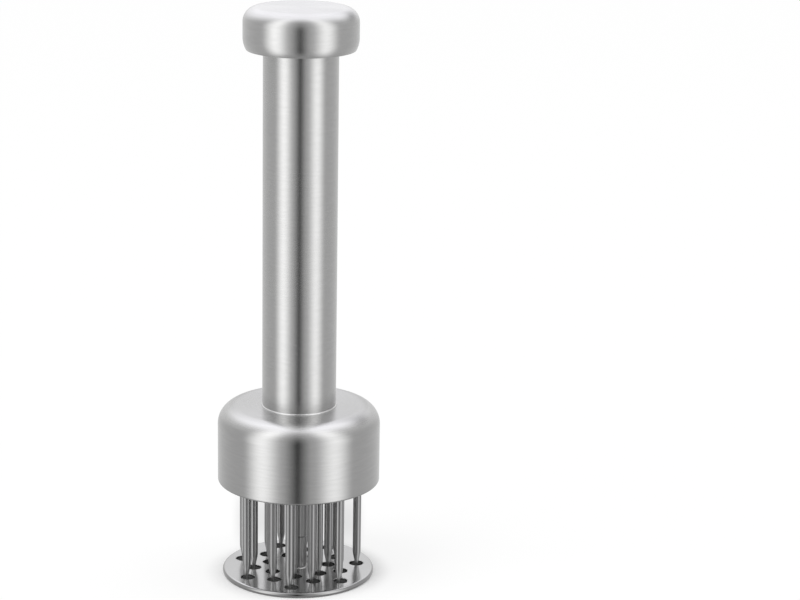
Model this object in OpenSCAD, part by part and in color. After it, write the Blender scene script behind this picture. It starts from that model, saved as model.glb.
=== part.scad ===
// Needle meat tenderizer with a spring-loaded guard plate, standing on its guard.
// The handle, bell and knob are stainless steel. Pressing the handle down slides the
// guard up into the bell, and the needles come out through its holes.
// The origin is the middle of the guard's underside, and +Z points up the handle.

/* [Handle] */
// Outside diameter of the handle tube
tube_d = 25.4; // [22:0.1:32]
// Wall thickness of the handle tube
tube_wall = 1; // [0.8:0.1:1.5]
// Length of tube that shows between the bell and the knob
handle_l = 123.7; // [90:0.5:160]
// Length of the plug in the upper end of the tube
upper_plug_l = 14; // [13:0.5:20]
// Diameter of the nose on the upper plug that centres the spring
spring_nose_d = 8.6; // [6:0.1:9]
// Length of that nose
spring_nose_l = 3; // [1:0.5:6]

/* [Knob] */
// Outside diameter of the knob
knob_d = 38.9; // [34:0.1:50]
// Height of the knob
knob_h = 14.1; // [11:0.1:20]
// Radius of the knob's upper edge
knob_edge_r = 4.9; // [2:0.1:5.5]
// Height of the curve that draws in the knob's lower side
knob_tuck_h = 4; // [2:0.1:5]
// How far the lower side draws in
knob_tuck = 1; // [0.5:0.05:1.8]
// Sheet thickness of the knob cap
knob_wall = 1; // [0.8:0.1:1.4]
// Thickness of the plate that closes the knob
knob_plate_t = 1.2; // [0.8:0.1:2]
// Depth of that plate inside the knob's lower rim
knob_plate_inset = 0.5; // [0.2:0.1:1.5]
// Diameter of the threaded stud that holds the knob on
knob_stud_d = 6; // [5:0.5:8]
// Length of the stud inside the upper plug
knob_stud_l = 11; // [8:0.5:12]
// Diameter of the stud's shoulder inside the knob
knob_shoulder_d = 12; // [10:0.5:16]

/* [Bell] */
// Outside diameter of the bell
bell_d = 56; // [53:0.2:64]
// Height of the bell
bell_h = 27.1; // [24:0.1:36]
// Radius of the bell's shoulder
bell_shoulder_r = 6.7; // [3:0.1:10]
// Sheet thickness of the bell
bell_wall = 1; // [0.8:0.1:1.4]
// Rounding of the bell's lower rim, outside
bell_rim_r = 0.6; // [0.1:0.05:0.8]
// Size of the weld bead between the tube and the bell
neck_weld_r = 0.4; // [0.3:0.05:1]

/* [Lower plug] */
// Length of the plug's spigot inside the tube
plug_spigot_l = 5; // [4:0.5:15]
// Diameter of the flange under the bell's top
plug_flange_d = 30; // [27:0.5:36]
// Thickness of that flange
plug_flange_t = 3; // [2:0.5:5]
// Diameter of the neck that reaches down to the needle plates
plug_neck_d = 18; // [16:0.5:24]

/* [Needle plates] */
// Thickness of the plate that holds the needles
needle_plate_t = 3; // [2.5:0.1:5]
// Thickness of the plate behind the needle heads
backing_plate_t = 1.5; // [1:0.1:3]
// Radial gap between these plates and the bell
plate_gap = 0.15; // [0.05:0.05:0.4]

/* [Guide bush] */
// Wall thickness of the bush round the guide rod
bush_wall = 2.25; // [1.5:0.05:2.6]
// Width across the flats of the bush's hexagon head
bush_head_af = 14; // [12.5:0.5:15]
// Thickness of that head
bush_head_t = 2; // [1.5:0.1:4]
// Height of the bush above the lower plug
bush_stand = 0.8; // [0.3:0.1:2]

/* [Needles] */
// Diameter of a needle
needle_d = 2.8; // [2:0.1:3.2]
// Number of needles in each of the three rings
ring_count = 7; // [5:1:8]
// Radius of the inner ring
ring_inner_r = 10.5; // [10:0.1:11]
// Distance from the outer ring to the edge of the guard disc
ring_edge = 5.8; // [3.5:0.1:6]
// Angle of the first needle, from the +X side
ring_start = 4.5; // [0:0.1:50]
// Length of the tapered point
point_l = 5.6; // [3:0.1:7]
// Diameter of the blunted tip
tip_d = 0.5; // [0.2:0.05:0.8]
// Depth of the tips below the guard's upper face
tip_depth = 1.2; // [0.2:0.1:1.4]
// Diameter of a needle's head
head_d = 4; // [3.6:0.1:4.4]
// Thickness of a needle's head
head_t = 1; // [0.6:0.1:1.6]

/* [Guard] */
// Thickness of the guard disc
disc_t = 1.8; // [1.5:0.1:3]
// Radial gap between the guard disc and the inside of the bell
disc_gap = 0.6; // [0.4:0.1:2]
// Rounding of the disc's edge
disc_edge_r = 0.85; // [0.1:0.05:0.85]
// Height of the bell's rim above the guard disc
guard_gap = 32.4; // [20:0.1:45]
// How far the pressed guard ends up inside the bell
guard_inset = 0.2; // [0:0.1:3]
// Radial gap between a needle and its hole
hole_gap = 1.05; // [0.5:0.05:1.2]
// How much of that gap the guard has turned through on its round rod
guard_play = 0.75; // [0:0.05:0.9]
// Chamfer on both edges of each hole
hole_chamfer = 0.2; // [0.1:0.05:0.4]

/* [Guide rod] */
// Diameter of the guide rod and of the boss under it
rod_d = 6; // [5.2:0.1:6.2]
// Height of the boss on the disc
boss_h = 11.6; // [9:0.1:16]
// Diameter of the boss's spigot through the disc
boss_spigot_d = 3.6; // [2.4:0.1:4.4]
// Diameter of the rod's threaded ends
thread_d = 4; // [3:0.5:4]
// Length of the thread inside the boss
thread_l = 7; // [4:0.5:8]
// Size of the weld bead round the boss
boss_weld_r = 0.6; // [0.3:0.05:1]
// Chamfer at the joint between boss and rod
joint_chamfer = 0.2; // [0.1:0.05:0.4]
// Clearance left over the boss's weld when the guard is pressed home
end_gap = 0.5; // [0.3:0.1:3]

/* [Return spring] */
// Wire diameter
wire_d = 1.2; // [1:0.1:1.4]
// Mean diameter of the curls
spring_d = 12; // [11.6:0.1:15]
// Number of curls
spring_curls = 29; // [20:0.5:34]
// Gap between the close curls at each end
end_curl_gap = 0.5; // [0.45:0.05:0.8]
// Thickness of the collar that the spring presses on
collar_t = 3; // [2:0.1:6]
// Radial gap between the collar and the tube
collar_gap = 0.5; // [0.2:0.1:2]
// Width across the flats of the nut over the collar
nut_af = 7; // [6:0.1:7.5]
// Height of that nut
nut_h = 3.2; // [2:0.1:5]
// Length of thread above the nut
thread_end = 0.8; // [0.3:0.1:3]

/* [Fits] */
// Radial clearance of fitted and threaded parts
fit = 0.05; // [0.02:0.01:0.08]
// Radial running clearance between the rod and its bush
running_fit = 0.05; // [0.02:0.01:0.1]
// Clearance between parts that rest on each other
rest_gap = 0.1; // [0.05:0.05:0.3]

/* [Hidden] */
$fn = 96;
eps = 0.01;

tube_bore = tube_d - 2 * tube_wall;
bell_bore = bell_d - 2 * bell_wall;
disc_d = bell_bore - 2 * disc_gap;
plate_d = bell_bore - 2 * plate_gap;
collar_d = tube_bore - 2 * collar_gap;
spigot_d = tube_bore - 2 * fit;
hole_d = needle_d + 2 * hole_gap;
bush_bore = rod_d + 2 * running_fit;
bush_d = bush_bore + 2 * bush_wall;

// Heights, from the guard's underside up
rim_z = disc_t + guard_gap;
bell_top = rim_z + bell_h;
ceiling_z = bell_top - bell_wall;
knob_z = bell_top + handle_l;
knob_plate_z = knob_z + knob_plate_inset;
travel = guard_gap + disc_t + guard_inset;
bush_z = disc_t + travel + boss_weld_r + end_gap;
needle_plate_z = bush_z + bush_head_t;
backing_z = needle_plate_z + needle_plate_t;
neck_z = backing_z + backing_plate_t;
flange_z = ceiling_z - plug_flange_t;
plug_top = bell_top + plug_spigot_l;
bush_top = plug_top + bush_stand;
joint_z = disc_t + boss_h;
collar_z = bush_top + rest_gap;
nut_z = collar_z + collar_t;
upper_plug_z = knob_plate_z - upper_plug_l;
tip_z = disc_t - tip_depth;
head_z = backing_z - head_t - rest_gap;

// The knob's lower curve is an arc that leaves the side upright and ends at the rim
tuck_r = (pow(knob_tuck_h, 2) + pow(knob_tuck, 2)) / (2 * knob_tuck);
mouth_r = knob_d / 2 - tuck_r + sqrt(pow(tuck_r - knob_wall, 2) - pow(knob_tuck_h, 2));

// The needles stand in three rings at equal distances, and the middle ring is turned by half a step
rings = 3;
ring_outer_r = disc_d / 2 - ring_edge;
needle_count = rings * ring_count;
function needle_name(i) = str("needle_", i < 10 ? "0" : "", i);
function ring_of(i) = floor((i - 1) / ring_count);
function ring_radius(ring) = ring_inner_r + (ring_outer_r - ring_inner_r) * ring / (rings - 1);
function needle_angle(i) =
    ring_start + (i - 1 - ring_of(i) * ring_count + (ring_of(i) % 2) / 2) * 360 / ring_count;
guard_turn = asin(guard_play * hole_gap / ring_outer_r);

// The spring's centre line, by the number of curls from its lower end
spring_low = nut_z + rest_gap + wire_d / 2;
spring_high = upper_plug_z - rest_gap - wire_d / 2;
end_pitch = wire_d + end_curl_gap;
open_rise = spring_high - spring_low - end_pitch * spring_curls;
curl_rings = 8;
wire_sides = 6;
spring_rings = round(spring_curls * curl_rings);
function curl_at(ring) = spring_curls * ring / spring_rings;
function open_share(curl) = min(1, max(0, (curl - 1) / (spring_curls - 2)));
function spring_point(curl) = [
    spring_d / 2 * cos(360 * curl),
    spring_d / 2 * sin(360 * curl),
    spring_low + end_pitch * curl + open_rise * open_share(curl)
];
spring_path = [for (i = [0:spring_rings]) spring_point(curl_at(i))];
spring_gap = min([for (i = [curl_rings:spring_rings]) norm(spring_path[i] - spring_path[i - curl_rings])])
    - wire_d;
echo("least gap between curls of the spring", spring_gap);

// Half outline of a solid cap: upright side, rounded upper edge
module cap_outline(r, h, edge_r) {
    square([r - edge_r, h]);
    square([r, h - edge_r]);
    translate([r - edge_r, h - edge_r]) circle(edge_r);
}

// What a lower outside corner of radius q loses, for an outline that ends at r
module corner_waste(r, q) {
    difference() {
        translate([r - q, -eps]) square([q + eps, q + eps]);
        translate([r - q, q]) circle(q);
    }
}

// Half outline of the knob, drawn in by w from the outside
module knob_outline(w) {
    difference() {
        cap_outline(knob_d / 2 - w, knob_h - w, knob_edge_r - w);
        difference() {
            translate([0, -eps]) square([knob_d, knob_tuck_h + eps]);
            translate([0, -2 * eps]) square([knob_d / 2 - tuck_r, knob_tuck_h + 3 * eps]);
            translate([knob_d / 2 - tuck_r, knob_tuck_h]) circle(tuck_r - w);
        }
    }
}

// Quarter-round weld bead standing on a flat face round a shaft of radius r
module weld_bead(r, size) {
    rotate_extrude() intersection() {
        translate([r, 0]) circle(size);
        translate([r, 0]) square(size);
    }
}

module ring_plate(d, t, bore) {
    difference() {
        cylinder(d = d, h = t);
        translate([0, 0, -eps]) cylinder(d = bore, h = t + 2 * eps);
    }
}

// Places its children at every needle of the pattern
module at_needles() {
    for (i = [1:needle_count]) rotate(needle_angle(i)) translate([ring_radius(ring_of(i)), 0, 0]) children();
}

// Hexagon bar, by its width across the flats
module hexagon(af, h) {
    cylinder(r = af / 2 / cos(30), h = h, $fn = 6);
}

module handle_tube() {
    color("silver") translate([0, 0, bell_top]) ring_plate(tube_d, knob_plate_z - bell_top, tube_bore);
}

module upper_plug() {
    color("darkgray") difference() {
        union() {
            translate([0, 0, upper_plug_z]) cylinder(d = spigot_d, h = upper_plug_l);
            translate([0, 0, upper_plug_z - spring_nose_l]) cylinder(d = spring_nose_d, h = spring_nose_l + eps);
        }
        translate([0, 0, knob_plate_z - knob_stud_l - rest_gap])
            cylinder(d = knob_stud_d + 2 * fit, h = knob_stud_l + rest_gap + eps);
    }
}

module lower_plug() {
    color("darkgray") difference() {
        union() {
            translate([0, 0, neck_z]) cylinder(d = plug_neck_d, h = flange_z - neck_z + eps);
            translate([0, 0, flange_z]) cylinder(d = plug_flange_d, h = plug_flange_t);
            translate([0, 0, ceiling_z - eps]) cylinder(d = spigot_d, h = plug_top - ceiling_z + eps);
        }
        translate([0, 0, neck_z - eps]) cylinder(d = bush_d + 2 * fit, h = plug_top - neck_z + 2 * eps);
    }
}

module bell_housing() {
    color("silver") translate([0, 0, rim_z]) rotate_extrude() difference() {
        cap_outline(bell_d / 2, bell_h, bell_shoulder_r);
        translate([0, -eps]) cap_outline(bell_bore / 2, bell_h - bell_wall + eps, bell_shoulder_r - bell_wall);
        square([tube_bore / 2, bell_h + eps]);
        corner_waste(bell_d / 2, bell_rim_r);
    }
}

module neck_weld() {
    color("white") translate([0, 0, bell_top]) weld_bead(tube_d / 2, neck_weld_r);
}

module knob_cap() {
    color("silver") translate([0, 0, knob_z]) rotate_extrude() difference() {
        knob_outline(0);
        knob_outline(knob_wall);
        square([mouth_r, knob_plate_inset]);
    }
}

module knob_plate() {
    color("gray") translate([0, 0, knob_plate_z])
        ring_plate(2 * (mouth_r - fit), knob_plate_t, knob_stud_d + 2 * fit);
}

module knob_stud() {
    shoulder_z = knob_plate_z + knob_plate_t;
    color("darkgray") {
        translate([0, 0, knob_plate_z - knob_stud_l])
            cylinder(d = knob_stud_d, h = knob_stud_l + knob_plate_t + eps);
        translate([0, 0, shoulder_z])
            cylinder(d = knob_shoulder_d, h = knob_z + knob_h - knob_wall - shoulder_z);
    }
}

module needle_plate() {
    color("gray") difference() {
        translate([0, 0, needle_plate_z]) ring_plate(plate_d, needle_plate_t, bush_d + 2 * fit);
        translate([0, 0, needle_plate_z - eps]) at_needles()
            cylinder(d = needle_d + 2 * fit, h = needle_plate_t);
        translate([0, 0, head_z]) at_needles()
            cylinder(d = head_d + 2 * fit, h = backing_z - head_z + eps);
    }
}

module backing_plate() {
    color("gray") translate([0, 0, backing_z]) ring_plate(plate_d, backing_plate_t, bush_d + 2 * fit);
}

module guide_bush() {
    color("darkgray") difference() {
        union() {
            translate([0, 0, bush_z]) hexagon(bush_head_af, bush_head_t);
            translate([0, 0, bush_z + eps]) cylinder(d = bush_d, h = bush_top - bush_z - eps);
        }
        translate([0, 0, bush_z - eps]) cylinder(d = bush_bore, h = bush_top - bush_z + 2 * eps);
    }
}

// Round needle with a flat head and a tapered point
module needle(i) {
    color("lightgray") rotate(needle_angle(i)) translate([ring_radius(ring_of(i)), 0, 0]) {
        translate([0, 0, tip_z]) cylinder(d1 = tip_d, d2 = needle_d, h = point_l);
        translate([0, 0, tip_z + point_l]) cylinder(d = needle_d, h = head_z - tip_z - point_l + eps);
        translate([0, 0, head_z]) cylinder(d = head_d, h = head_t);
    }
}

module return_spring() {
    ring_points = [
        for (i = [0:spring_rings])
            let (
                angle = 360 * curl_at(i),
                outward = [cos(angle), sin(angle), 0],
                before = spring_path[max(0, i - 1)],
                after = spring_path[min(spring_rings, i + 1)],
                along = (after - before) / norm(after - before),
                across = cross(along, outward) / norm(cross(along, outward))
            )
            for (k = [0:wire_sides - 1])
                spring_path[i]
                    + wire_d / 2 * (cos(360 * k / wire_sides) * outward + sin(360 * k / wire_sides) * across)
    ];
    side_faces = [
        for (i = [0:spring_rings - 1], k = [0:wire_sides - 1])
            let (
                a = i * wire_sides + k,
                b = i * wire_sides + (k + 1) % wire_sides
            )
            each [[a, a + wire_sides, b], [b, a + wire_sides, b + wire_sides]]
    ];
    last = spring_rings * wire_sides;
    end_faces = [
        for (k = [1:wire_sides - 2])
            each [[0, k, k + 1], [last, last + k + 1, last + k]]
    ];
    color("lightsteelblue") polyhedron(ring_points, concat(side_faces, end_faces));
}

// Hole through the disc with its edges chamfered
module needle_hole() {
    mouth_d = hole_d + 2 * hole_chamfer;
    translate([0, 0, -eps]) cylinder(d = hole_d, h = disc_t + 2 * eps);
    translate([0, 0, -eps]) cylinder(d1 = mouth_d + 2 * eps, d2 = hole_d, h = hole_chamfer + eps);
    translate([0, 0, disc_t - hole_chamfer]) cylinder(d1 = hole_d, d2 = mouth_d + 2 * eps, h = hole_chamfer + eps);
}

module guard_disc() {
    color("gainsboro") difference() {
        rotate_extrude() difference() {
            square([disc_d / 2, disc_t]);
            corner_waste(disc_d / 2, disc_edge_r);
            translate([0, disc_t]) mirror([0, 1]) corner_waste(disc_d / 2, disc_edge_r);
        }
        rotate(guard_turn) at_needles() needle_hole();
        translate([0, 0, -eps]) cylinder(d = boss_spigot_d + 2 * fit, h = disc_t + 2 * eps);
    }
}

module disc_boss() {
    color("lightgray") difference() {
        union() {
            cylinder(d = boss_spigot_d, h = disc_t + eps);
            translate([0, 0, disc_t]) cylinder(d = rod_d, h = boss_h - joint_chamfer);
            translate([0, 0, joint_z - joint_chamfer])
                cylinder(d1 = rod_d, d2 = rod_d - 2 * joint_chamfer, h = joint_chamfer);
        }
        translate([0, 0, joint_z - thread_l - rest_gap])
            cylinder(d = thread_d + 2 * fit, h = thread_l + rest_gap + eps);
    }
}

module boss_weld() {
    color("white") translate([0, 0, disc_t]) weld_bead(rod_d / 2, boss_weld_r);
}

module guide_rod() {
    thread_top = nut_z + nut_h + thread_end;
    color("lightgray") {
        translate([0, 0, joint_z - thread_l]) cylinder(d = thread_d, h = thread_top - joint_z + thread_l);
        translate([0, 0, joint_z])
            cylinder(d1 = rod_d - 2 * joint_chamfer, d2 = rod_d, h = joint_chamfer);
        translate([0, 0, joint_z + joint_chamfer]) cylinder(d = rod_d, h = collar_z - joint_z - joint_chamfer);
    }
}

module spring_collar() {
    color("darkgray") translate([0, 0, collar_z]) ring_plate(collar_d, collar_t, thread_d + 2 * fit);
}

module collar_nut() {
    color("silver") difference() {
        translate([0, 0, nut_z]) hexagon(nut_af, nut_h);
        translate([0, 0, nut_z - eps]) cylinder(d = thread_d + 2 * fit, h = nut_h + 2 * eps);
    }
}

handle_tube();
upper_plug();
lower_plug();
bell_housing();
neck_weld();
knob_cap();
knob_plate();
knob_stud();
needle_plate();
backing_plate();
guide_bush();
return_spring();
guard_disc();
disc_boss();
boss_weld();
guide_rod();
spring_collar();
collar_nut();
for (i = [1:needle_count]) {
    needle(i);
}
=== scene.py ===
"""Needle meat tenderizer in stainless steel: its finishes, studio and camera.

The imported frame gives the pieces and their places. Most pieces are made again here as fine
surfaces, each a formula on a grid, and stand for the frame's own nodes. The rest show as
they are. Everything is in metres, with the guard disc's underside at z = 0 and the axis
along Z.
"""
import math
from collections import namedtuple

import bpy
import numpy as np
from mathutils import Matrix, Vector
from mathutils.geometry import delaunay_2d_cdt


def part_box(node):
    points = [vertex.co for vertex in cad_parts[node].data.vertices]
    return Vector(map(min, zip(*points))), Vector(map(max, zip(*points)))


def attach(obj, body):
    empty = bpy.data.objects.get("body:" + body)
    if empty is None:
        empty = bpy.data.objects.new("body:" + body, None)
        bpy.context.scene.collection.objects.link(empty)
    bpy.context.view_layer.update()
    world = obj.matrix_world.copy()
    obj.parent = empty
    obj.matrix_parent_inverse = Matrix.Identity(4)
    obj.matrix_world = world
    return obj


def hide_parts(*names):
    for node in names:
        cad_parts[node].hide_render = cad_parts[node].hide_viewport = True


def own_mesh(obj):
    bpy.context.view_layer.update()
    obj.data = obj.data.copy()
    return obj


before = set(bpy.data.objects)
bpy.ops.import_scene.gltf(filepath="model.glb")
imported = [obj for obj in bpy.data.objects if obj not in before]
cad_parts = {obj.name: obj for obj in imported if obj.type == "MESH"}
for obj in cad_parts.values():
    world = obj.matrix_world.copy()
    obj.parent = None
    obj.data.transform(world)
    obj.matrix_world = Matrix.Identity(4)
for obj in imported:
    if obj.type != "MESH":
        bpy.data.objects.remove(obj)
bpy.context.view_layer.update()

MM = 0.001
TURN = 2 * math.pi

# Sizes that the frame's boxes give
tube_low, tube_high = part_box("handle_tube")
bell_low, bell_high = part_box("bell_housing")
knob_low, knob_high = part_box("knob_cap")
knob_plate_low, knob_plate_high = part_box("knob_plate")
stud_low, stud_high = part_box("knob_stud")
disc_low, disc_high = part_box("guard_disc")
rod_low, rod_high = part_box("guide_rod")
neck_low, neck_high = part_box("neck_weld")
foot_low, foot_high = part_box("boss_weld")
spring_low, spring_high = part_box("return_spring")
needle_low, needle_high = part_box("needle_01")
boss_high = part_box("disc_boss")[1]
collar_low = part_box("spring_collar")[0]
tube_r = tube_high.x
bell_r = bell_high.x
knob_r = knob_high.x
disc_r = disc_high.x
rod_r = boss_high.x
stud_shoulder_r = stud_high.x

# Sizes that the frame's boxes don't give
tube_wall = 1 * MM
tube_edge = 0.1 * MM
bell_wall = 1 * MM
bell_shoulder_r = 6.7 * MM
bell_rim_r = 0.6 * MM
knob_wall = 1 * MM
knob_edge_r = 4.9 * MM
knob_tuck_h = 4 * MM
knob_tuck = 1 * MM
stud_r = 3 * MM
stud_edge = 0.4 * MM
stud_pitch = 1 * MM
disc_edge_r = 0.85 * MM
bore_edge_r = 0.05 * MM
hole_edge_r = 0.2 * MM
disc_inset = 0.04 * MM
hole_r = 2.45 * MM
spigot_r = 1.8 * MM
needle_r = 1.4 * MM
point_l = 5.6 * MM
tip_r = 0.25 * MM
tip_edge_r = 0.15 * MM
point_blend_r = 9 * MM
head_r = 2 * MM
head_t = 1 * MM
needle_count = 21
ring_outer_r = 20.6 * MM
guard_play_share = 0.75
guard_turn = math.asin(guard_play_share * (hole_r - needle_r) / ring_outer_r)
joint_groove = 0.2 * MM
rod_edge = 0.3 * MM
rod_pitch = 0.7 * MM
rod_thread_r = 2 * MM
spring_r = 6 * MM
wire_r = 0.6 * MM
spring_curls = 29
end_pitch = 1.7 * MM

# A metric thread's depth, as a share of its pitch
thread_depth = 0.54

# Points nearer than this are the same point
same = 1e-8

# How many steps each surface has round the axis or, in the disc, round its circle and its edge
handle_steps = 192
bell_steps = 256
bead_steps = 384
disc_steps = 256
bore_steps = 48
hole_steps = 64
disc_edge_steps = 7
needle_steps = 48
thread_steps = 64


def make_camera():
    """The photograph's view: a long lens just above, turned a little past the object and rolled."""
    place = Vector((0, -0.8325, 0.3290))
    yaw, pitch, roll = math.radians(2.357), math.radians(15.45), math.radians(0.96)
    ahead = Vector((math.sin(yaw) * math.cos(pitch), math.cos(yaw) * math.cos(pitch), -math.sin(pitch)))
    level = Vector((math.cos(yaw), -math.sin(yaw), 0))
    upright = level.cross(ahead)
    right = level * math.cos(roll) + upright * math.sin(roll)
    up = upright * math.cos(roll) - level * math.sin(roll)
    data = bpy.data.cameras.new("camera")
    data.sensor_width = 36
    data.lens = 113.82
    data.clip_start, data.clip_end = 0.01, 50
    camera = bpy.data.objects.new("camera", data)
    camera.matrix_world = Matrix.Translation(place) @ Matrix((right, up, -ahead)).transposed().to_4x4()
    bpy.context.scene.collection.objects.link(camera)
    bpy.context.scene.camera = camera


plain = (1, 1, 1)
warm = (1, 0.998, 0.992)
cool = (0.965, 0.962, 1)


def colour(value, tint=plain):
    """A grey of this value, with a tint."""
    return (*(value * part for part in tint), 1)


def operator(operation, *fixed):
    """An operator's method, which adds the Math node that operation names."""
    def method(socket, *others):
        return socket.math(operation, *others, *fixed)
    return method


class Socket:
    """A node's output with arithmetic: each operator adds a Math node."""

    def __init__(self, graph, socket):
        self.graph, self.socket = graph, socket

    def math(self, operation, *others):
        return self.graph.node("ShaderNodeMath", {"operation": operation}, (self, *others))

    def __rsub__(self, other):
        return self.graph.node("ShaderNodeMath", {"operation": "SUBTRACT"}, (other, self))

    __add__ = __radd__ = operator("ADD")
    __sub__ = operator("SUBTRACT")
    __mul__ = __rmul__ = operator("MULTIPLY")
    __truediv__ = operator("DIVIDE")
    __pow__ = operator("POWER")
    __abs__ = operator("ABSOLUTE")
    __neg__ = operator("MULTIPLY", -1)

    def above(self, low, high):
        """0 below low, 1 above high, and a smooth step between."""
        smooth = {"interpolation_type": "SMOOTHSTEP"}
        return self.graph.node("ShaderNodeMapRange", smooth, (self, low, high, 0.0, 1.0))

    def near(self, middle, reach):
        """1 at the middle, 0 as far from it as its reach or further, and a smooth hump between."""
        return 1 - abs(self - middle).above(0, reach)


class Graph:
    """A node tree being written: one method adds any node."""

    def __init__(self, tree):
        self.tree = tree
        tree.nodes.clear()

    def node(self, kind, settings=None, inputs=(), output=0):
        """Adds a node with its settings, and with its inputs by place or by name. Gives one output."""
        made = self.tree.nodes.new(kind)
        for name, value in (settings or {}).items():
            setattr(made, name, value)
        named = inputs.items() if isinstance(inputs, dict) else enumerate(inputs)
        for name, value in named:
            if isinstance(value, Socket):
                self.tree.links.new(value.socket, made.inputs[name])
            else:
                made.inputs[name].default_value = value
        return Socket(self, made.outputs[output]) if made.outputs else None

    def place(self):
        """Where the surface is, in its object's coordinates."""
        return self.node("ShaderNodeTexCoord", output="Object")

    def facing_up(self):
        """1 where the surface faces up, 0 where it is upright and -1 where it faces down."""
        return self.parts(self.node("ShaderNodeTexCoord", output="Normal"))[2]

    def parts(self, vector):
        """A vector's x, y and z."""
        split = self.node("ShaderNodeSeparateXYZ", inputs=(vector,)).socket.node
        return [Socket(self, part) for part in split.outputs]

    def vector(self, x, y, z):
        return self.node("ShaderNodeCombineXYZ", inputs=(x, y, z))

    def scaled(self, vector, scales):
        """A vector with its x, y and z each scaled."""
        return self.node("ShaderNodeVectorMath", {"operation": "MULTIPLY"}, (vector, scales))

    def noise(self, vector, scale=1.0, detail=2.0, roughness=0.5):
        inputs = {"Vector": vector, "Scale": scale, "Detail": detail, "Roughness": roughness}
        return self.node("ShaderNodeTexNoise", inputs=inputs)

    def mix(self, share, first, second):
        """Two colours mixed. A Mix node's sockets for colours are its inputs 6 and 7 and its output 2."""
        return self.node("ShaderNodeMix", {"data_type": "RGBA"}, {0: share, 6: first, 7: second}, output=2)

    def tones(self, share, tone, low, high, tint=plain):
        """A grey from low to high times the tone."""
        return self.mix(share, colour(tone * low, tint), colour(tone * high, tint))

    def bump(self, height, strength, distance):
        inputs = {"Strength": strength, "Distance": distance, "Height": height}
        return self.node("ShaderNodeBump", inputs=inputs)


def distance_from_axis(x, y):
    return (x * x + y * y) ** 0.5


# The default tangent goes round the axis, and a quarter of a turn from it goes along the axis
along_axis = 0.25


def steel_surface(graph, base, roughness, normal=None, stretch=0.0):
    """Writes the surface and the material's output. A stretch draws highlights out along the axis."""
    inputs = {"Base Color": base, "Roughness": roughness, "Metallic": 1.0}
    if normal is not None:
        inputs["Normal"] = normal
    if stretch:
        inputs.update({"Anisotropic": stretch, "Anisotropic Rotation": along_axis})
    surface = graph.node("ShaderNodeBsdfPrincipled", inputs=inputs)
    graph.node("ShaderNodeOutputMaterial", inputs=(surface,))


def new_material(name):
    material = bpy.data.materials.new(name)
    material.use_nodes = True
    return material, Graph(material.node_tree)


def lines_round_axis(graph, breaks, *per_mm):
    """Noise drawn out into lines round the axis, for each number of lines to the millimetre.

    The more breaks, the shorter the lines. They follow z less the distance from the axis, so
    that flats show circles too.
    """
    x, y, z = graph.parts(graph.place())
    radius = distance_from_axis(x, y).math("MAXIMUM", 0.2 * MM)
    across = (z - radius) * (1 / MM)
    cosine, sine = x / radius * breaks, y / radius * breaks
    return [graph.noise(graph.vector(cosine, sine, across * count), roughness=0.6) for count in per_mm]


def brushed_steel(name, tone, roughness, dull_top=0.0, painted_highlight=0.0):
    """Satin steel brushed round the axis: hairlines, coarser lines and faint smudges from handling.

    Where it faces up, its roughness may be greater, by as much as dull_top. Where it slopes, its
    colour is lightened toward white as a painted highlight, by the share its last argument gives.
    """
    material, graph = new_material(name)
    breaks, hairs_per_mm, bands_per_mm, smudges_per_m = 3, 12, 1.3, 45
    band_edges = (0.3, 0.7)
    hair_share, band_share, smudge_share = 0.4, 0.35, 0.25
    dull_edges, painted_highlight_start, painted_highlight_end = (0.15, 0.8), (0.36, 0.64), (0.86, 0.98)
    hair, band = lines_round_axis(graph, breaks, hairs_per_mm, bands_per_mm)
    smudge = graph.noise(graph.place(), smudges_per_m)
    share = hair * hair_share + band.above(*band_edges) * band_share + smudge * smudge_share
    base = graph.tones(share, tone, 0.94, 1.06, warm)
    up = graph.facing_up()
    dull = up.above(*dull_edges) * dull_top
    # Painted highlight: on the slope between flat top and upright side, the colour is lightened toward
    # white
    painted_highlight_band = up.above(*painted_highlight_start) * (1 - up.above(*painted_highlight_end))
    base = graph.mix(painted_highlight_band * painted_highlight, base, colour(1, warm))
    normal = graph.bump(hair, strength=0.06, distance=0.03 * MM)
    steel_surface(graph, base, roughness + dull + hair * 0.06 + smudge * 0.06, normal, stretch=0.8)
    return material


def guard_steel(name, tone, roughness):
    """Polished sheet with faint smudges and fine scratches, and painted shade on its edges and walls."""
    material, graph = new_material(name)
    where = graph.place()
    smudges_per_m = 110
    scratches_per_m = (1200, 60, 300)
    # Painted shade: rounded edges and the walls of the bore and holes, far from flat, get a darker colour
    cut_edges = (0.75, 0.97)
    painted_wall_shade_tone = 0.7
    smudge = graph.noise(where, smudges_per_m, detail=3)
    scratch = graph.noise(graph.scaled(where, scratches_per_m), detail=1)
    # Where the surface is far from flat: painted shade in colour, and a smoother finish
    cut = 1 - abs(graph.facing_up()).above(*cut_edges)
    face = graph.tones(smudge, tone, 0.95, 1.04)
    base = graph.mix(cut, face, colour(tone * painted_wall_shade_tone))
    normal = graph.bump(scratch, strength=0.02, distance=0.02 * MM)
    steel_surface(graph, base, roughness + smudge * 0.05 - cut * 0.05, normal, stretch=0.7)
    return material


def needle_steel(name, tone, roughness):
    """Drawn rod with fine lines along it, and rings where its point is ground."""
    material, graph = new_material(name)
    where = graph.place()
    lines_per_m = (3000, 3000, 20)
    rings_per_m = (200, 200, 8000)
    lines = graph.noise(graph.scaled(where, lines_per_m), detail=1)
    rings = graph.noise(graph.scaled(where, rings_per_m), detail=1)
    height = graph.parts(where)[2]
    point_top = needle_low.z + point_l
    ground_edges = (point_top - 1.6 * MM, point_top + 0.8 * MM)
    ground = 1 - height.above(*ground_edges)
    shaft = graph.tones(lines, tone, 0.7, 1.3)
    point = graph.tones(rings, tone, 1.2, 1.5)
    base = graph.mix(ground, shaft, point)
    steel_surface(graph, base, roughness + lines * 0.03 + ground * (rings * 0.06), stretch=0.8)
    return material


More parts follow.
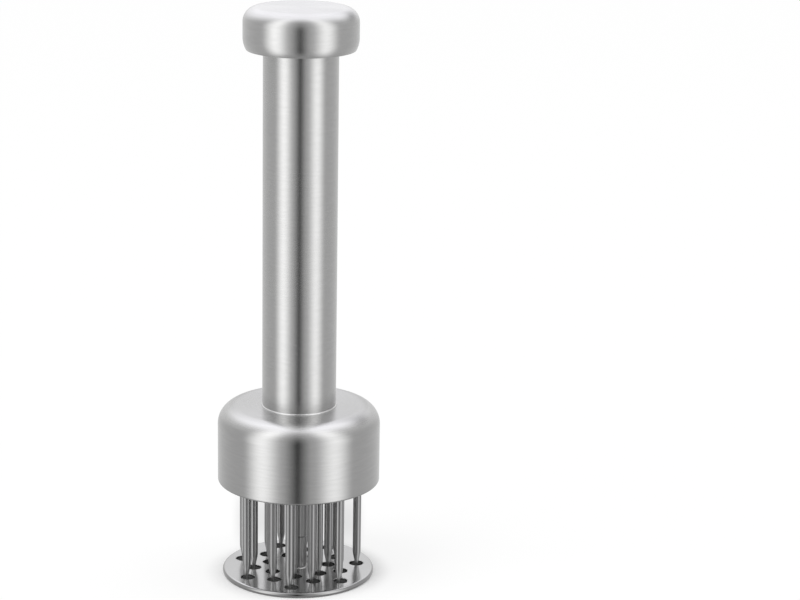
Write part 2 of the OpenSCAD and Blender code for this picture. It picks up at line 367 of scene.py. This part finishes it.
def turned_steel(name, tone, roughness, marks=5):
    """Turned, ground or drawn steel: rings round the axis, so many to the millimetre, and faint clouds."""
    material, graph = new_material(name)
    breaks, clouds_per_m = 0.6, 160
    ring_share, cloud_share = 0.6, 0.4
    rings = lines_round_axis(graph, breaks, marks)[0]
    cloud = graph.noise(graph.place(), clouds_per_m)
    base = graph.tones(rings * ring_share + cloud * cloud_share, tone, 0.88, 1.1)
    normal = graph.bump(rings, strength=0.1, distance=0.03 * MM)
    steel_surface(graph, base, roughness + rings * 0.08 + cloud * 0.04, normal, stretch=0.5)
    return material


def weld_steel(name, tone, roughness):
    """Bright weld metal, with the small waves that it set in."""
    material, graph = new_material(name)
    waves_per_m = 1400
    wave = graph.noise(graph.place(), waves_per_m)
    base = graph.tones(wave, tone, 0.94, 1.04, warm)
    normal = graph.bump(wave, strength=0.15, distance=0.05 * MM)
    steel_surface(graph, base, roughness + wave * 0.1, normal)
    return material


def make_mesh(name, vertices, faces, smooth_angle=30):
    """A mesh from arrays of vertices and of faces with three or four corners, -1 for no fourth corner."""
    mesh = bpy.data.meshes.new(name)
    counts = (faces >= 0).sum(1)
    mesh.vertices.add(len(vertices))
    mesh.vertices.foreach_set("co", np.ascontiguousarray(vertices, np.float32).ravel())
    mesh.loops.add(int(counts.sum()))
    mesh.loops.foreach_set("vertex_index", faces[faces >= 0].astype(np.int32))
    mesh.polygons.add(len(faces))
    mesh.polygons.foreach_set("loop_start", np.concatenate(([0], np.cumsum(counts)[:-1])).astype(np.int32))
    mesh.polygons.foreach_set("use_smooth", np.ones(len(faces), bool))
    mesh.update(calc_edges=True)
    mesh.set_sharp_from_angle(angle=math.radians(smooth_angle))
    mesh.validate()
    return mesh


def make_piece(name, mesh, body, material, nodes):
    """An object that rides on a body and stands for the frame's nodes."""
    piece = bpy.data.objects.new(name, mesh)
    bpy.context.scene.collection.objects.link(piece)
    piece.data.materials.append(material)
    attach(piece, body)
    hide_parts(*nodes)
    return piece


def line(start, end, count=2):
    """Points from start to end, with one extra point close to each end that keeps flats flat."""
    close = 0.02
    share = np.concatenate(([0, close], np.linspace(0, 1, count + 1)[1:-1], [1 - close, 1]))
    return np.array(start) + share[:, None] * (np.array(end) - np.array(start))


def arc(centre, radius, start, end, count):
    """Points on a circle about centre, from one angle to another in degrees."""
    angle = np.radians(np.linspace(start, end, count + 1))
    return np.array(centre) + radius * np.stack((np.cos(angle), np.sin(angle)), 1)


def circle_points(centre, radius, count):
    """Points all round a circle."""
    turn = np.arange(count) * TURN / count
    return np.array(centre) + radius * np.stack((np.cos(turn), np.sin(turn)), 1)


def outline(*parts):
    """Joins stretches of an outline and drops the points that repeat."""
    points = np.concatenate(parts)
    kept = np.concatenate(([True], np.linalg.norm(np.diff(points, axis=0), axis=1) > same))
    return points[kept]


def grid_faces(index):
    """Faces of a grid of vertex numbers whose rows are closed rings."""
    following = np.roll(index, -1, axis=1)
    return np.stack((index[:-1], following[:-1], following[1:], index[1:]), -1).reshape(-1, 4)


def fan(tip, first, second):
    """Triangles from one vertex to pairs of others, with -1 for no fourth corner."""
    return np.stack((np.full(len(first), tip), first, second, np.full(len(first), -1)), -1)


def turned_grid(radius, height, closed=True):
    """A surface round the axis, from arrays of radius and height by point of the outline and angle.

    x = r cos t, y = r sin t, z = h. A closed outline joins its last point to its first. An
    open one starts and ends on the axis, where its first and last points are single vertices.
    """
    around = radius.shape[1]
    turn = np.arange(around) * TURN / around
    inner = slice(None) if closed else slice(1, -1)
    r, h = radius[inner], height[inner]
    vertices = np.stack((r * np.cos(turn), r * np.sin(turn), h), -1).reshape(-1, 3)
    index = np.arange(r.size).reshape(-1, around)
    if closed:
        return vertices, grid_faces(np.concatenate((index, index[:1])))
    following = np.roll(index, -1, axis=1)
    vertices = np.concatenate((vertices, [[0, 0, height[0, 0]], [0, 0, height[-1, 0]]]))
    low_end = fan(r.size, following[0], index[0])
    high_end = fan(r.size + 1, index[-1], following[-1])
    return vertices, np.concatenate((grid_faces(index), low_end, high_end))


def revolve(points, around, closed=True):
    """Turns an outline of (radius, height) about the axis, anticlockwise seen with +r right and +z up."""
    shape = (len(points), around)
    return turned_grid(np.broadcast_to(points[:, :1], shape), np.broadcast_to(points[:, 1:], shape), closed)


def threaded(points, crest, low, high, pitch):
    """Turns an outline and cuts a thread where its radius is the crest's, between two heights.

    The cut's depth is thread_depth times the pitch, times a triangle wave of height / pitch
    less angle / turn, and it fades in and out over one pitch at both ends.
    """
    radius, height = points[:, :1], points[:, 1:]
    wave = abs(((height / pitch - np.arange(thread_steps) / thread_steps) % 1) * 2 - 1)
    fade = np.clip(np.minimum(height - low, high - height) / pitch, 0, 1)
    depth = thread_depth * pitch * fade * wave * (abs(radius - crest) < same)
    return turned_grid(radius - depth, np.broadcast_to(height, depth.shape), closed=False)


def make_handle_tube(material):
    """Tube with a wall, its ends cut square."""
    inner, low, high = tube_r - tube_wall, tube_low.z, tube_high.z
    points = outline(
        line((inner, low), (tube_r - tube_edge, low)),
        line((tube_r, low + tube_edge), (tube_r, high - tube_edge), 24),
        line((tube_r - tube_edge, high), (inner, high)),
        line((inner, high), (inner, low), 4),
    )
    mesh = make_mesh("handle_tube_surface", *revolve(points, handle_steps))
    make_piece("handle_tube_surface", mesh, "housing", material, ["handle_tube"])


def make_bell(material):
    """Deep-drawn bell: flat top, round shoulder, upright side, and the same outline inside."""
    low, high, hole = bell_low.z, bell_high.z, tube_r - tube_wall
    side, ceiling = bell_r - bell_wall, bell_high.z - bell_wall
    centre = (bell_r - bell_shoulder_r, high - bell_shoulder_r)
    points = outline(
        line((side, low), (bell_r - bell_rim_r, low)),
        arc((bell_r - bell_rim_r, low + bell_rim_r), bell_rim_r, -90, 0, 6),
        line((bell_r, low + bell_rim_r), (bell_r, centre[1]), 6),
        arc(centre, bell_shoulder_r, 0, 90, 32),
        line((centre[0], high), (hole, high), 4),
        line((hole, high), (hole, ceiling)),
        line((hole, ceiling), (centre[0], ceiling), 4),
        arc(centre, bell_shoulder_r - bell_wall, 90, 0, 24),
        line((side, centre[1]), (side, low), 4),
    )
    mesh = make_mesh("bell_surface", *revolve(points, bell_steps))
    make_piece("bell_surface", mesh, "housing", material, ["bell_housing"])


def make_knob(material):
    """Pressed knob cap: flat top, round edge, and a lower side drawn in along an arc to the rim."""
    low, high = knob_low.z, knob_high.z
    tuck_r = (knob_tuck_h ** 2 + knob_tuck ** 2) / (2 * knob_tuck)
    tuck_centre = (knob_r - tuck_r, low + knob_tuck_h)
    tuck_angle = math.degrees(math.asin(knob_tuck_h / tuck_r))
    inner_angle = math.degrees(math.asin(knob_tuck_h / (tuck_r - knob_wall)))
    edge_centre = (knob_r - knob_edge_r, high - knob_edge_r)
    points = outline(
        line((0, high - knob_wall), (edge_centre[0], high - knob_wall), 4),
        arc(edge_centre, knob_edge_r - knob_wall, 90, 0, 16),
        line((knob_r - knob_wall, edge_centre[1]), (knob_r - knob_wall, tuck_centre[1])),
        arc(tuck_centre, tuck_r - knob_wall, 0, -inner_angle, 12),
        arc(tuck_centre, tuck_r, -tuck_angle, 0, 16),
        line((knob_r, tuck_centre[1]), (knob_r, edge_centre[1]), 4),
        arc(edge_centre, knob_edge_r, 0, 90, 24),
        line((edge_centre[0], high), (0, high), 6),
    )
    mesh = make_mesh("knob_surface", *revolve(points, handle_steps, closed=False))
    make_piece("knob_surface", mesh, "housing", material, ["knob_cap"])


def make_bead(name, node, body, radius, low, size, material):
    """Quarter-round weld bead that stands on a flat face round a shaft, with slight ripples.

    At each angle its size falls short of the full size by a share times a wave from 0 to 1,
    which sums two sine waves, the lesser with half as many ripples.
    """
    ripples, share = 46, 0.06
    turn = np.arange(bead_steps) * TURN / bead_steps
    wave = 0.5 + 0.3 * np.sin(ripples * turn) + 0.2 * np.sin(ripples / 2 * turn + 1)
    size_here = size * (1 - share * wave)
    section = outline(line((0, 0), (1, 0)), arc((0, 0), 1, 0, 90, 10), line((0, 1), (0, 0)))[:-1]
    grid = turned_grid(radius + section[:, :1] * size_here, low + section[:, 1:] * size_here)
    make_piece(name, make_mesh(name, *grid), body, material, [node])


def needle_places():
    """Each needle's place, from the frame's boxes."""
    middles = [sum(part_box(f"needle_{number:02d}"), Vector()) / 2 for number in range(1, needle_count + 1)]
    return [(middle.x, middle.y) for middle in middles]


def hole_places():
    """The same pattern, turned by as much as the guard has turned within the play of its holes."""
    cosine, sine = math.cos(guard_turn), math.sin(guard_turn)
    return [(x * cosine - y * sine, x * sine + y * cosine) for x, y in needle_places()]


# A circle of the disc, with its rounded edge and its steps. Its side is 1 for the rim and -1 for a hole
Circle = namedtuple("Circle", "centre radius edge count side")


def disc_wall(circle):
    """A circle's wall: rings of points along a quarter arc, an upright and a quarter arc.

    The first and last rings lie on the flat faces, disc_inset beyond those arcs.
    """
    low, high, edge = disc_low.z, disc_high.z, circle.edge
    flat = edge + disc_inset
    steps = outline(
        np.array([(-circle.side * flat, low)]),
        arc((-circle.side * edge, low + edge), edge, -90, 0, disc_edge_steps),
        arc((-circle.side * edge, high - edge), edge, 0, 90, disc_edge_steps),
        np.array([(-circle.side * flat, high)]),
    )
    if circle.side < 0:
        steps[1:-1, 0] = 2 * edge - steps[1:-1, 0]
    rings = [
        np.column_stack((circle_points(circle.centre, circle.radius + out, circle.count),
                         np.full(circle.count, height)))
        for out, height in steps
    ]
    return np.concatenate(rings)


def flat_triangles(rings, circles):
    """Triangles between the circles' rings of points, anticlockwise, numbered through the rings."""
    edges = []
    first = 0
    for ring in rings:
        count = len(ring)
        edges += [(first + i, first + (i + 1) % count) for i in range(count)]
        first += count
    points = [Vector(point) for ring in rings for point in ring]
    found = delaunay_2d_cdt(points, edges, [], 0, same / 10)
    corners = np.array([tuple(point) for point in found[0]])
    triangles = np.array(found[2])
    middle = corners[triangles].mean(1)
    keep = np.hypot(*middle.T) < disc_r
    for circle in circles[1:]:
        keep &= np.hypot(*(middle - circle.centre).T) > circle.radius
    triangles = triangles[keep]
    a, b, c = corners[triangles].transpose(1, 0, 2)
    clockwise = (b[:, 0] - a[:, 0]) * (c[:, 1] - a[:, 1]) < (b[:, 1] - a[:, 1]) * (c[:, 0] - a[:, 0])
    triangles[clockwise] = triangles[clockwise][:, ::-1]
    original = np.array([sources[0] for sources in found[3]])
    return original[triangles]


def make_disc(material):
    """Drilled disc: flat faces between circles, joined by walls with rounded edges."""
    circles = [
        Circle((0, 0), disc_r, disc_edge_r, disc_steps, 1),
        Circle((0, 0), spigot_r, bore_edge_r, bore_steps, -1),
        *(Circle(middle, hole_r, hole_edge_r, hole_steps, -1) for middle in hole_places()),
    ]
    walls, faces, low_rings, high_rings = [], [], [], []
    start = 0
    for circle in circles:
        wall = disc_wall(circle)
        index = start + np.arange(len(wall)).reshape(-1, circle.count)
        walls.append(wall)
        faces.append(grid_faces(index)[:, ::circle.side])
        low_rings.append(index[0])
        high_rings.append(index[-1])
        start += len(wall)
    vertices = np.concatenate(walls)
    triangles = flat_triangles([vertices[ring, :2] for ring in high_rings], circles)
    upper = np.concatenate(high_rings)[triangles]
    lower = np.concatenate(low_rings)[triangles][:, ::-1]
    flats = np.concatenate((upper, lower))
    flats = np.column_stack((flats, np.full(len(flats), -1)))
    mesh = make_mesh("guard_disc_surface", vertices, np.concatenate(faces + [flats]), smooth_angle=40)
    make_piece("guard_disc_surface", mesh, "guard", material, ["guard_disc"])


def make_needles(material):
    """Round needles: a blunted tip, a taper that blends into the shaft, and the flat head that holds it."""
    low, high, tip_edge, blend = needle_low.z, needle_high.z, tip_edge_r, point_blend_r
    taper = math.atan((needle_r - tip_r) / point_l)
    taper_degrees = math.degrees(taper)
    blend_z = low + point_l + blend * math.tan(taper / 2)
    taper_end = (needle_r - blend + blend * math.cos(taper), blend_z - blend * math.sin(taper))
    head_low = high - head_t
    points = outline(
        line((0, low), (tip_r - tip_edge, low)),
        arc((tip_r - tip_edge, low + tip_edge), tip_edge, -90, -taper_degrees, 5),
        line((tip_r, low + tip_edge), taper_end, 4),
        arc((needle_r - blend, blend_z), blend, -taper_degrees, 0, 6),
        line((needle_r, blend_z), (needle_r, head_low), 4),
        line((needle_r, head_low), (head_r, head_low)),
        line((head_r, head_low), (head_r, high)),
        line((head_r, high), (0, high)),
    )
    vertices, faces = revolve(points, needle_steps, closed=False)
    for number, (x, y) in enumerate(needle_places(), 1):
        node = f"needle_{number:02d}"
        mesh = make_mesh(node + "_surface", vertices + (x, y, 0), faces)
        make_piece(node + "_surface", mesh, "housing", material, [node])


def make_guide_rod(material):
    """Rod with a shoulder at both ends: it screws into the boss below, and its nut goes on above."""
    low, joint, shoulder, top = rod_low.z, boss_high.z, collar_low.z, rod_high.z
    points = outline(
        line((0, low), (rod_thread_r - rod_edge, low)),
        line((rod_thread_r, low + rod_edge), (rod_thread_r, joint), 80),
        line((rod_thread_r, joint), (rod_r - joint_groove, joint)),
        line((rod_r, joint + joint_groove), (rod_r, shoulder), 6),
        line((rod_r, shoulder), (rod_thread_r, shoulder)),
        line((rod_thread_r, shoulder), (rod_thread_r, top - rod_edge), 80),
        line((rod_thread_r - rod_edge, top), (0, top)),
    )
    mesh = make_mesh("guide_rod_surface", *threaded(points, rod_thread_r, low, top, rod_pitch))
    make_piece("guide_rod_surface", mesh, "guard", material, ["guide_rod"])


def make_knob_stud(material):
    """Stud that is threaded into the upper plug and has a wide shoulder inside the knob."""
    low, shoulder, top = stud_low.z, knob_plate_high.z, stud_high.z
    points = outline(
        line((0, low), (stud_r - stud_edge, low)),
        line((stud_r, low + stud_edge), (stud_r, shoulder), 100),
        line((stud_r, shoulder), (stud_shoulder_r - stud_edge, shoulder)),
        line((stud_shoulder_r, shoulder + stud_edge), (stud_shoulder_r, top - stud_edge), 4),
        line((stud_shoulder_r - stud_edge, top), (0, top)),
    )
    mesh = make_mesh("knob_stud_surface", *threaded(points, stud_r, low, knob_plate_low.z, stud_pitch))
    make_piece("knob_stud_surface", mesh, "housing", material, ["knob_stud"])


def make_spring(material):
    """Return spring: round wire along a helix that is close-wound at both ends.

    By the number u of curls, the helix is (R cos 2 pi u, R sin 2 pi u), and its height adds the
    end pitch times u to the open rise shared evenly between the first and the last curl. Round
    that path, the wire's surface is w cos v outward plus w sin v square to path and outward.
    """
    curl_steps, sides = 40, 14
    curls = np.linspace(0, spring_curls, spring_curls * curl_steps + 1)
    start, end = spring_low.z + wire_r, spring_high.z - wire_r
    open_rise = end - start - end_pitch * spring_curls
    outward = np.stack((np.cos(TURN * curls), np.sin(TURN * curls), 0 * curls), -1)
    path = spring_r * outward
    path[:, 2] = start + end_pitch * curls + open_rise * np.clip((curls - 1) / (spring_curls - 2), 0, 1)
    along = np.gradient(path, axis=0)
    across = np.cross(along, outward)
    across /= np.linalg.norm(across, axis=1)[:, None]
    v = (np.arange(sides) * TURN / sides)[None, :, None]
    grid = path[:, None] + wire_r * (np.cos(v) * outward[:, None] + np.sin(v) * across[:, None])
    index = np.arange(grid.shape[0] * sides).reshape(-1, sides)
    following = np.roll(index, -1, axis=1)
    wire_faces = np.stack((index[:-1], index[1:], following[1:], following[:-1]), -1).reshape(-1, 4)
    low_end = fan(index.size, index[0], following[0])
    high_end = fan(index.size + 1, following[-1], index[-1])
    vertices = np.concatenate((grid.reshape(-1, 3), path[:1], path[-1:]))
    mesh = make_mesh("return_spring_surface", vertices, np.concatenate((wire_faces, low_end, high_end)))
    piece = make_piece("return_spring_surface", mesh, "housing", material, ["return_spring"])
    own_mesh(piece)


# The studio is a round tent about the object, which only the steel shows. Angles are in degrees
# from the camera's side, positive to the right. Heights are from its middle, as shares of its radius
tent_r = 0.5
tent_z = 0.1
# The walls, and the brighter rear with the angles between which they change to it
wall_level = 0.492
rear_level = 0.72
rear_edges = (92, 182)
# Each soft box's middle, its reach to both sides and its strength
soft_boxes = [(-51.5, 33.1, 0.93), (50.7, 32.8, 0.82)]
# The dark gap at the camera, which fades out with height
gap_level = 0.02
gap_middle = -1.5
gap_reach = 18.6
gap_fade = (-0.18, 1.49)
# The bright panel overhead, which leans to the rear
panel_level = 1.42
panel_lean = 0.52
panel_edges = (0.56, 1.09)
# A dim card behind on the right
card_depth = 0.58
card_middle = 138
card_reach = 43
card_height = 0.52
card_rise = 0.28
# The dim lower part, by its depth below the tent's middle
under_level = 0.35
under_edges = (0.42, 0.78)

# The painted soft shade on the floor behind the guard, not cast by any lamp: where it starts and
# ends, how far in front its sides would meet, and their slopes
shade_start = (0.012, 0.048)
shade_end = (0.055, 0.1)
shade_spread = 0.83
shade_sides = (0.021, 0.0295)

# The floor's tones as paper and as light of its own, how much of that light there is beyond
# the guard and further out, and the distances from the axis between which it comes in
floor_size = 12
paper_tone = 0.97
# The painted shade's tones behind the guard, for the paper and for its own light
paper_shade_tone = 0.75
# Painted shade: the paper's tone where the guard covers the floor closely
painted_cover_shade_tone = 0.22
light_shade_tone = 0.77
light_near = 0.75
light_near_edges = (disc_r - 1 * MM, disc_r + 8 * MM)
light_far = 0.2
light_far_edges = (0.03, 0.16)
# How near a surface covers the floor, and the open shares between which its painted shade ends
cover_distance = 0.008
cover_edges = (0.6, 0.95)


def make_floor():
    """Pale floor that keeps the object's shadow, and is dark where the guard covers it closely.

    The painted shade behind the needles is the one that shows between them. What metal shows of
    the floor is only the part under the guard: further out it shows the tent.
    """
    bpy.ops.mesh.primitive_plane_add(size=floor_size)
    floor = bpy.context.active_object
    floor.name = "floor"
    material, graph = new_material("floor")
    x, y = graph.parts(graph.place())[:2]
    out = distance_from_axis(x, y)
    beside = out.above(disc_r - 1 * MM, disc_r)
    reach = {"Distance": cover_distance}
    open_share = graph.node("ShaderNodeAmbientOcclusion", {"samples": 8}, reach, output="AO")
    # Painted shade on the floor where the guard covers it closely
    painted_cover_shade = (1 - beside) * (1 - open_share.above(*cover_edges))
    # Painted shade behind the guard, in both the paper's tone and its own light
    slope = abs(x / (y + shade_spread))
    behind = y.above(*shade_start) * (1 - y.above(*shade_end)) * (1 - slope.above(*shade_sides))
    tone = graph.mix(behind, colour(paper_tone), colour(paper_shade_tone))
    tone = graph.mix(painted_cover_shade, tone, colour(painted_cover_shade_tone))
    paper = graph.node("ShaderNodeBsdfDiffuse", inputs={"Color": tone})
    glow = graph.mix(behind, colour(1), colour(light_shade_tone))
    white = graph.node("ShaderNodeEmission", inputs={"Color": glow, "Strength": 1.0})
    share = out.above(*light_near_edges) * light_near + out.above(*light_far_edges) * light_far
    lit = graph.node("ShaderNodeMixShader", inputs=(share, paper, white))
    glossy = graph.node("ShaderNodeLightPath", output="Is Glossy Ray")
    clear = graph.node("ShaderNodeBsdfTransparent")
    surface = graph.node("ShaderNodeMixShader", inputs=(glossy * beside, lit, clear))
    graph.node("ShaderNodeOutputMaterial", inputs=(surface,))
    material.cycles.emission_sampling = "NONE"
    floor.data.materials.append(material)


def make_studio():
    """Tent all round that only the steel shows: walls, two soft boxes, a dark gap and a panel.

    Its strength follows the direction from the tent's middle. Along the walls it rises
    to the rear, adds a smooth hump for each soft box, and drops in a sharp valley at the
    camera. Overhead it changes smoothly to the bright panel, behind on the right a smooth
    dim card takes from it, and below it changes to a dim floor.
    """
    bpy.ops.mesh.primitive_uv_sphere_add(segments=64, ring_count=32, radius=tent_r, location=(0, 0, tent_z))
    backdrop = bpy.context.active_object
    backdrop.name = "studio_backdrop"
    material, graph = new_material("studio_backdrop")
    x, y, z = graph.parts(graph.place())
    angle = x.math("ARCTAN2", -y) * (180 / math.pi)
    rise = z / tent_r
    level = wall_level + abs(angle).above(*rear_edges) * (rear_level - wall_level)
    for middle, reach, strength in soft_boxes:
        level = level + angle.near(middle, reach) * strength
    slope = (abs(angle - gap_middle) / gap_reach).math("MINIMUM", 1)
    level = level * (1 - (1 - slope) * (1 - gap_level) * (1 - rise.above(*gap_fade)))
    overhead = (rise + y / tent_r * panel_lean).above(*panel_edges)
    level = level + overhead * (panel_level - level)
    card = angle.near(card_middle, card_reach) * rise.near(card_height, card_rise)
    level = level * (1 - card * card_depth)
    level = level + (-rise).above(*under_edges) * (under_level - level)
    glow = graph.mix(overhead, colour(1), colour(1, cool))
    surface = graph.node("ShaderNodeEmission", inputs={"Color": glow, "Strength": level})
    graph.node("ShaderNodeOutputMaterial", inputs=(surface,))
    material.cycles.emission_sampling = "NONE"
    backdrop.data.materials.append(material)
    for use in ("camera", "diffuse", "shadow", "transmission", "volume_scatter"):
        setattr(backdrop, "visible_" + use, False)


# The rays to which the room is white: the camera's own, and those off metal and through glass
seen_rays = ("Is Camera Ray", "Is Glossy Ray", "Is Transmission Ray")
# How bright it is to the others
room_level = 0.75


def make_world():
    """Plain white room: the camera sees it white, and it lights the floor softly."""
    world = bpy.data.worlds.new("studio")
    bpy.context.scene.world = world
    world.use_nodes = True
    graph = Graph(world.node_tree)
    camera, glossy, transmission = [graph.node("ShaderNodeLightPath", output=name) for name in seen_rays]
    seen = camera.math("MAXIMUM", glossy).math("MAXIMUM", transmission)
    strength = room_level + seen * (1 - room_level)
    background = graph.node("ShaderNodeBackground", inputs={"Color": colour(1), "Strength": strength})
    graph.node("ShaderNodeOutputWorld", inputs=(background,))


def make_lamp(name, place, size, power):
    """Soft square lamp that faces the object. The steel shows the backdrop's soft boxes instead."""
    middle = Vector((0, 0, 0.08))
    data = bpy.data.lights.new(name, "AREA")
    data.shape = "SQUARE"
    data.size = size
    data.energy = power
    lamp = bpy.data.objects.new(name, data)
    bpy.context.scene.collection.objects.link(lamp)
    lamp.location = place
    lamp.rotation_euler = (middle - Vector(place)).to_track_quat("-Z", "Y").to_euler()
    lamp.visible_glossy = False


make_camera()
make_world()
make_floor()
make_studio()
make_lamp("key_lamp", place=(-0.9, -0.5, 1.6), size=1.0, power=12)
make_lamp("fill_lamp", place=(1.0, 0.2, 1.5), size=1.2, power=6)

satin = brushed_steel("brushed_steel", tone=0.66, roughness=0.2)
# The bell's colour carries a painted highlight, lightened toward white where its shoulder slopes
bell_satin = brushed_steel("brushed_steel_bell", tone=0.62, roughness=0.13, dull_top=0.09, painted_highlight=0.3)
bright = guard_steel("polished_steel", tone=0.66, roughness=0.15)
ground_rod = turned_steel("polished_steel_rod", tone=0.4, roughness=0.26, marks=14)
needle_finish = needle_steel("needle_steel", tone=0.43, roughness=0.28)
bead = weld_steel("weld_steel", tone=0.85, roughness=0.2)
turned = turned_steel("turned_steel", tone=0.55, roughness=0.27)
wire = turned_steel("spring_steel", tone=0.5, roughness=0.22, marks=12)

make_handle_tube(satin)
make_bell(bell_satin)
make_knob(satin)
make_bead("neck_bead", "neck_weld", "housing", tube_r, neck_low.z, neck_high.z - neck_low.z, bead)
make_bead("foot_bead", "boss_weld", "guard", rod_r, foot_low.z, foot_high.z - foot_low.z, bead)
make_disc(bright)
make_needles(needle_finish)
make_guide_rod(ground_rod)
make_knob_stud(turned)
make_spring(wire)

# The frame's own nodes that show as they are
finishes = {"disc_boss": ground_rod, "knob_plate": satin}
for name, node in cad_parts.items():
    node.data.materials.clear()
    node.data.materials.append(finishes.get(name, turned))

view = bpy.context.scene.view_settings
view.view_transform = "Standard"
